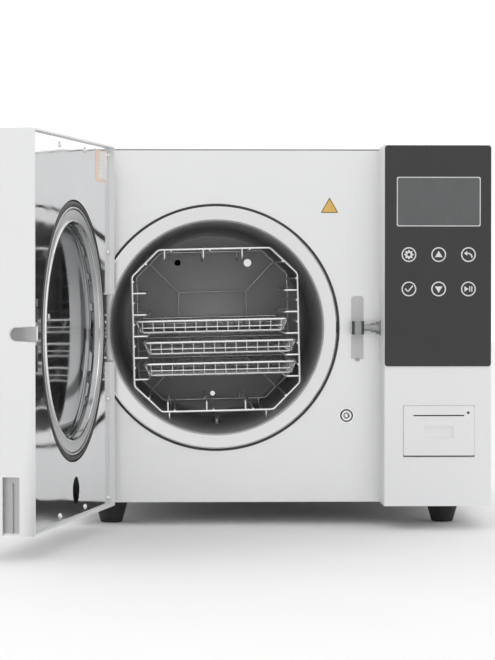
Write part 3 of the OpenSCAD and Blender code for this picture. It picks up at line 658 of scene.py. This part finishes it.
for index, (tray, shift) in enumerate((("upper", -4.5), ("middle", 4.5), ("lower", 4.5))):
    floor = RAIL_Z[index + 2] + WIRE / 2 + 0.3
    piece = wires(tray + "_tray_wires", tray_runs(shift, floor), WIRE / 2, RACK, 2)
    finish_piece(piece, tray + "_tray", "wire_steel", "tray_" + tray)

# ---------------------------------------------------------------- control column

OVERLAY_Y = from_corner(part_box("control_overlay")[0]).y
PRINT_T = 0.35
KEY_X = (390.2, 424.5, 458.8)
KEY_Z = (317.7, 278.2)


def ring_outline(x, z, outer, inner, count=40):
    """A ring as a row of short quads."""
    quads = []
    for i in range(count):
        a, b = (2 * math.pi * k / count for k in (i, i + 1))
        quads.append([
            (x + inner * math.cos(a), z + inner * math.sin(a)),
            (x + outer * math.cos(a), z + outer * math.sin(a)),
            (x + outer * math.cos(b), z + outer * math.sin(b)),
            (x + inner * math.cos(b), z + inner * math.sin(b)),
        ])
    return quads


def stroke(points, width):
    """A line of even width through the points, one quad a stretch."""
    quads = []
    for (x0, z0), (x1, z1) in zip(points, points[1:]):
        length = math.hypot(x1 - x0, z1 - z0)
        nx, nz = -(z1 - z0) / length * width / 2, (x1 - x0) / length * width / 2
        quads.append([(x0 + nx, z0 + nz), (x0 - nx, z0 - nz), (x1 - nx, z1 - nz), (x1 + nx, z1 + nz)])
    return quads


def gear(x, z):
    shapes = ring_outline(x, z, 4.0, 1.9, 24)
    for i in range(8):
        a = math.pi * i / 4
        side = Vector((-math.sin(a), math.cos(a)))
        out = Vector((math.cos(a), math.sin(a)))
        base = Vector((x, z))
        tooth = [base + out * 3.9 + side * 1.1, base + out * 3.9 - side * 1.1]
        tooth += [base + out * 5.3 - side * 0.8, base + out * 5.3 + side * 0.8]
        shapes.append([tuple(p) for p in tooth])
    return shapes


def triangle(x, z, up):
    s = 1 if up else -1
    return [[(x - 4.4, z - 2.9 * s), (x + 4.4, z - 2.9 * s), (x, z + 4.4 * s)]]


def go_back(x, z):
    bend = [(x + 4.2, z - 3.4), (x + 3.4, z - 0.6), (x + 1.2, z + 1.1), (x - 1.6, z + 1.5)]
    return [[(x - 5.2, z + 1.5), (x - 1.4, z + 4.2), (x - 1.4, z - 1.2)]] + stroke(bend, 1.7)


def tick(x, z):
    return stroke([(x - 4.4, z + 0.4), (x - 1.2, z - 3.1), (x + 4.6, z + 3.6)], 1.5)


def play_pause(x, z):
    arrow = [(x - 4.6, z + 3.1), (x - 4.6, z - 3.1), (x + 0.4, z)]
    bars = [rectangle(x + c, z - 3.1, x + c + 1.3, z + 3.1) for c in (0.9, 3.3)]
    return [arrow] + bars


icons = gear(KEY_X[0], KEY_Z[0]) + triangle(KEY_X[1], KEY_Z[0], True) + go_back(KEY_X[2], KEY_Z[0])
icons += tick(KEY_X[0], KEY_Z[1]) + triangle(KEY_X[1], KEY_Z[1], False) + play_pause(KEY_X[2], KEY_Z[1])
finish_piece(flat_shapes("key_icons", icons, OVERLAY_Y - PRINT_T, PRINT_T), "cabinet", "key_print")


def display_frame():
    """The light line round the display, with rounded corners."""
    line = 1.0
    low, high = (from_corner(corner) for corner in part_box("display_window"))
    path = [(x, 0, z) for x, z in rectangle(low.x, low.z, high.x, high.z)]
    outer = filleted(path, 2.0, closed=True)
    middle, size = (low + high) / 2, high - low
    share_x, share_z = 1 - 2 * line / size.x, 1 - 2 * line / size.z

    def inner(p):
        return (middle.x + (p.x - middle.x) * share_x, middle.z + (p.z - middle.z) * share_z)

    quads = []
    for p, q in zip(outer, outer[1:] + outer[:1]):
        quads.append([(p.x, p.z), (q.x, q.z), inner(q), inner(p)])
    return flat_shapes("display_frame", quads, low.y - 0.2, 0.3)


finish_piece(display_frame(), "cabinet", "key_print")


def printer_surround():
    """Pale strips that line the gap round the printer cover, with a scoop that its foot turns in."""
    gap, free = 0.5, 0.12
    sweep, thick = 6.1, 0.8
    column_y = from_corner(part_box("control_column")[0]).y
    low, high = (from_corner(corner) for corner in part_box("printer_cover"))
    pin = from_corner(Vector(JOINTS["printer_cover_turn"]["pos_m"]))
    scoop = []
    arc = [math.radians(a) for a in range(-118, 23, 14)]
    for a, b in zip(arc, arc[1:]):
        scoop.append([
            (pin.y + r * math.cos(t), pin.z + r * math.sin(t))
            for r, t in ((sweep, a), (sweep, b), (sweep + thick, b), (sweep + thick, a))
        ])
    strips = [
        rectangle(low.x - gap, low.z - 2, low.x - free, high.z + gap),
        rectangle(high.x + free, low.z - 2, high.x + gap, high.z + gap),
        rectangle(low.x - gap, high.z + free, high.x + gap, high.z + gap),
    ]
    meshes = [
        prisms("scoop", scoop, lambda y, z, x: at(x, y, z), low.x - free, high.x + free).data,
        flat_shapes("strips", strips, column_y + 0.5, 1.0).data,
    ]
    finish_piece(joined("printer_surround", meshes), "cabinet", "white_plastic")


printer_surround()

# ---------------------------------------------------------------- door's inner side

PLATE_Y = -8.0
GASKET_Y = -7.3
RING_Y = -8.6
DISH_R, DISH_Y, DISH_DEPTH = 117.0, -20.0, 12.0
BOLT_Y, BOLT_Z = -22.0, AXIS.z / MM


def on_plate(name, profile, slot, *replaced, steps=160, ring=False, offset=(0, 0)):
    """A turned piece of the door about the chamber's axis, heights counted along Y with the door shut."""
    centre = AXIS + Vector((offset[0], 0, offset[1])) * MM
    mesh = turned(name, profile, centre, (0, 1, 0), steps, ring)
    mesh.transform(OPEN_DOOR)
    return finish_piece(bpy.data.objects.new(name, mesh), "door", slot, *replaced)


def plate_profiles():
    """The polished outer ring with its fine steps, the wall of the recess, and the dish."""
    outer = [(121, -19), (141.5, -19), (141.5, -15.2), (135.3, -15.2), (135.3, RING_Y + 0.6)]
    outer += [(134.9, RING_Y + 0.9), (133.9, RING_Y + 0.9), (133.5, RING_Y + 0.6)]
    outer += [(133.5, RING_Y - 4), (132, RING_Y - 4)]
    for i in range(5):
        outer += [(132 - i * 2.2, RING_Y - i * 0.25), (130.1 - i * 2.2, RING_Y - i * 0.25)]
    outer += [(121, RING_Y - 1.1)]
    bead = [(121, -14), (121, RING_Y - 0.1), (120.7, RING_Y + 0.4), (120.1, RING_Y + 0.6)]
    bead += [(119.4, RING_Y + 0.4), (119, RING_Y - 0.1), (119, -14)]
    wall = [(121, -19), (121, -14), (119, -14), (119, -18.8), (118.5, -19.6)]
    wall += [(DISH_R, DISH_Y), (116.5, -22)]
    dish = [(0, -35.5), (20, -35.5), (111, -28.5), (DISH_R, -23), (DISH_R, DISH_Y)]
    for i in range(1, 25):
        a = math.pi / 2 * i / 24
        dish.append((DISH_R * math.cos(a) if i < 24 else 0, DISH_Y - DISH_DEPTH * math.sin(a)))
    return outer, bead, wall, dish


outer_ring, bead_ring, recess_ring, dish_profile = plate_profiles()
on_plate("plate_ring", outer_ring, "panel_steel", "pressure_plate", ring=True)
on_plate("plate_bead", bead_ring, "chrome", ring=True)
# The recess wall and the dish take the darkened chrome as painted shade
on_plate("plate_recess", recess_ring, "dark_chrome", ring=True)
on_plate("plate_dish", dish_profile, "dark_chrome")
stud = [(0, -31), (3.5, -31), (3.5, -19.3), (3.1, -18.8), (2.4, -18.5), (0, -18.4)]
on_plate("plate_stud", stud, "chrome", steps=24, offset=(66, 16))
on_plate("plate_boss", [(0, -38), (14, -38), (14, -35), (0, -35)], "keeper_steel")
gasket = [(135.5, -15), (142, -15), (142, -9.6), (141.4, -8.3), (140.2, -7.5), (139.2, GASKET_Y)]
gasket += [(137.8, GASKET_Y), (136.6, -7.6), (135.8, -8.4), (135.5, -9.4)]
on_plate("gasket_ring", gasket, "gasket", "door_gasket", ring=True)


def slot_trim():
    """The pale lip that follows the U-shaped slot for the strike bolt."""
    inner, outer = 7.4, 8.2
    turns = [math.pi * (0.5 + i / 16) for i in range(17)]
    quads = []
    for a, b in zip(turns, turns[1:]):
        quads.append([
            (BOLT_Y + r * math.cos(t), BOLT_Z + r * math.sin(t))
            for r, t in ((outer, a), (outer, b), (inner, b), (inner, a))
        ])
    for side in (-1, 1):
        low, high = sorted((BOLT_Z + side * inner, BOLT_Z + side * outer))
        quads.append(rectangle(BOLT_Y, low, -10, high))
    piece = prisms("slot_trim", quads, lambda y, z, x: OPEN_DOOR @ at(x, y, z), 355.6, 356.1)
    finish_piece(piece, "door", "white_plastic")


slot_trim()


def latch_pocket():
    """The pale walls of the pocket that takes the keeper block, seen through the edge slot."""
    half = 12
    walls = [rectangle(324.2, -37, 325.2, -9.5), rectangle(324.2, -38, 343, -37)]
    piece = door_posts("latch_pocket", walls, BOLT_Z - half, BOLT_Z + half)
    finish_piece(piece, "door", "white_plastic")


latch_pocket()


def notch_liner():
    """The moulded pocket behind the cut-out at the door's lower corner."""
    parts = [
        ((348.2, -38, 29), (349, -18, 88)),
        ((349, -37.8, 29), (355.4, -37.1, 88)),
        ((349, -18.9, 29), (355.4, -18.2, 88)),
        ((349, -37.1, 87.2), (355.4, -18.9, 88)),
        ((349, -29, 29), (352.5, -27.6, 80)),
    ]
    meshes = []
    for low, high in parts:
        outline = rectangle(low[0], low[1], high[0], high[1])
        meshes.append(door_posts("notch_liner", [outline], low[2], high[2]).data)
    # The pocket takes the greyer keeper steel as painted shade, since it stands in shadow behind the cut-out
    finish_piece(joined("notch_liner", meshes), "door", "keeper_steel")


notch_liner()

# A sticker with a coloured border along two sides and grey bars in place of its print
field = [rectangle(18.5, 404, 53, 434.5)]
finish_piece(door_shapes("label_field", field, PLATE_Y + 0.2, PLATE_Y + 0.32), "door", "paper")
bars = [rectangle(22, 429 - 4.6 * i, 50 - 5 * (i % 3), 430 - 4.6 * i) for i in range(5)]
finish_piece(door_shapes("label_bars", bars, PLATE_Y + 0.3, PLATE_Y + 0.4), "door", "key_print")

# ---------------------------------------------------------------- front panel's small things


def drain_fitting():
    """Hexagon with a turned collar inside a dark seal ring, and the valve's poppet in the bore."""
    x, z, bore = 323, 129, 3.5
    collar = [(bore, 0), (bore, 5.6), (bore + 0.4, 6), (5.6, 6), (6, 5.6), (6, 3), (6, 0)]
    meshes = [turned("drain_collar", collar, at(x, 0, z), (0, -1, 0), 48, True)]
    hexagon = []
    for i in range(6):
        a, b = (math.pi * k / 3 for k in (i, i + 1))
        hexagon.append([
            (x + r * math.cos(t), z + r * math.sin(t)) for r, t in ((10, a), (10, b), (7.3, b), (7.3, a))
        ])
    meshes.append(flat_shapes("drain_hexagon", hexagon, -3, 3).data)
    finish_piece(joined("drain_fitting", meshes), "cabinet", "chrome", "drain_coupler")
    seal = [(6.05, 3.1), (7.5, 3.1), (7.5, 5.2), (7.2, 5.6), (6.4, 5.6), (6.05, 5.2)]
    rubber = turned("drain_seal", seal, at(x, 0, z), (0, -1, 0), 48, True)
    finish_piece(bpy.data.objects.new("drain_seal", rubber), "cabinet", "gasket")
    poppet = [(0, -1.9), (3.2, -1.9), (3.2, -1.2), (2.2, -0.5), (1.2, -0.3), (0, -0.3)]
    valve = turned("drain_poppet", poppet, at(x, 0, z), (0, -1, 0), 32)
    finish_piece(bpy.data.objects.new("drain_poppet", valve), "cabinet", "chrome")


drain_fitting()

edge = stroke([(293.6, 368.1), (312.4, 368.1), (303, 384.7), (293.6, 368.1)], 0.7)
finish_piece(flat_shapes("hot_mark_edge", edge, -0.4, 0.2), "cabinet", "overlay")

# Joint between the cover's front edge and the front panel
seam = [rectangle(2, 440.9, 361, 441.5)]
finish_piece(flat_shapes("top_seam", seam, -0.12, 0.3), "cabinet", "gasket")

# ---------------------------------------------------------------- screws and feet

PAN_HEAD = [(0, 0), (3.0, 0), (3.0, 0.5), (2.8, 1.0), (2.3, 1.45), (1.5, 1.72)]
PAN_HEAD += [(1.1, 1.75), (0.9, 1.2), (0, 1.1)]


def screw_heads(places, axis, wide, high, steps):
    """Pan heads at the places, with their radius and height scaled."""
    profile = [(r * wide, h * high) for r, h in PAN_HEAD]
    return [turned("screw_head", profile, place, axis, steps) for place in places]


door_places = [at(x, PLATE_Y, z) for x in (9, 122, 234, 345) for z in (36.5, 432.5)]
door_places += [at(9, PLATE_Y, z) for z in (151, 320)]
plate_heads = joined("plate_screw_heads", screw_heads(door_places, (0, 1, 0), 1.0, 1.0, 20))
plate_heads.data.transform(OPEN_DOOR)
finish_piece(plate_heads, "door", "chrome", "plate_screws")

back_y = from_corner(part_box("rear_panel")[1]).y
rear_places = [at(x, back_y, z) for x in (12, 474) for z in (50, 235, 425)]
heads = screw_heads(rear_places, (0, 1, 0), 0.9, 0.9, 20)
heads += screw_heads([at(242, 0, 34)], (0, -1, 0), 0.5, 0.55, 16)
finish_piece(joined("small_screws", heads), "cabinet", "chrome", "panel_screws")


def add_feet():
    """Tapered rubber feet with a rounded tread and a screw hole underneath."""
    low, high = (from_corner(corner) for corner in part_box("feet"))
    top = high.z
    profile = [(0, 3), (3.5, 3), (3.8, 0.4), (4.6, 0), (11.8, 0), (12.7, 0.4), (13.1, 1.3), (13.7, 3.5)]
    profile += [(18.6, top - 6), (19.3, top - 5), (19.8, top - 4), (20, top - 0.6), (19.6, top), (0, top)]
    inset = 20.0
    xs = (low.x + inset, high.x - inset)
    ys = (low.y + inset, high.y - inset)
    meshes = [turned("foot", profile, at(x, y, 0), (0, 0, 1)) for x in xs for y in ys]
    finish_piece(joined("rubber_feet", meshes), "cabinet", "rubber", "feet")


add_feet()

# ---------------------------------------------------------------- floor


def add_floor():
    bpy.ops.mesh.primitive_circle_add(vertices=96, radius=9, fill_type="NGON", location=(0, 0, -0.0002))
    floor = bpy.context.object
    floor.name = "studio_floor"
    made = material("studio_floor", grey(0.86), 0.0, 0.75)
    into(made, "Base Color", ramp(made, noise(made, 3, detail=2), grey(0.85), grey(0.87)))
    floor.data.materials.append(made)


add_floor()
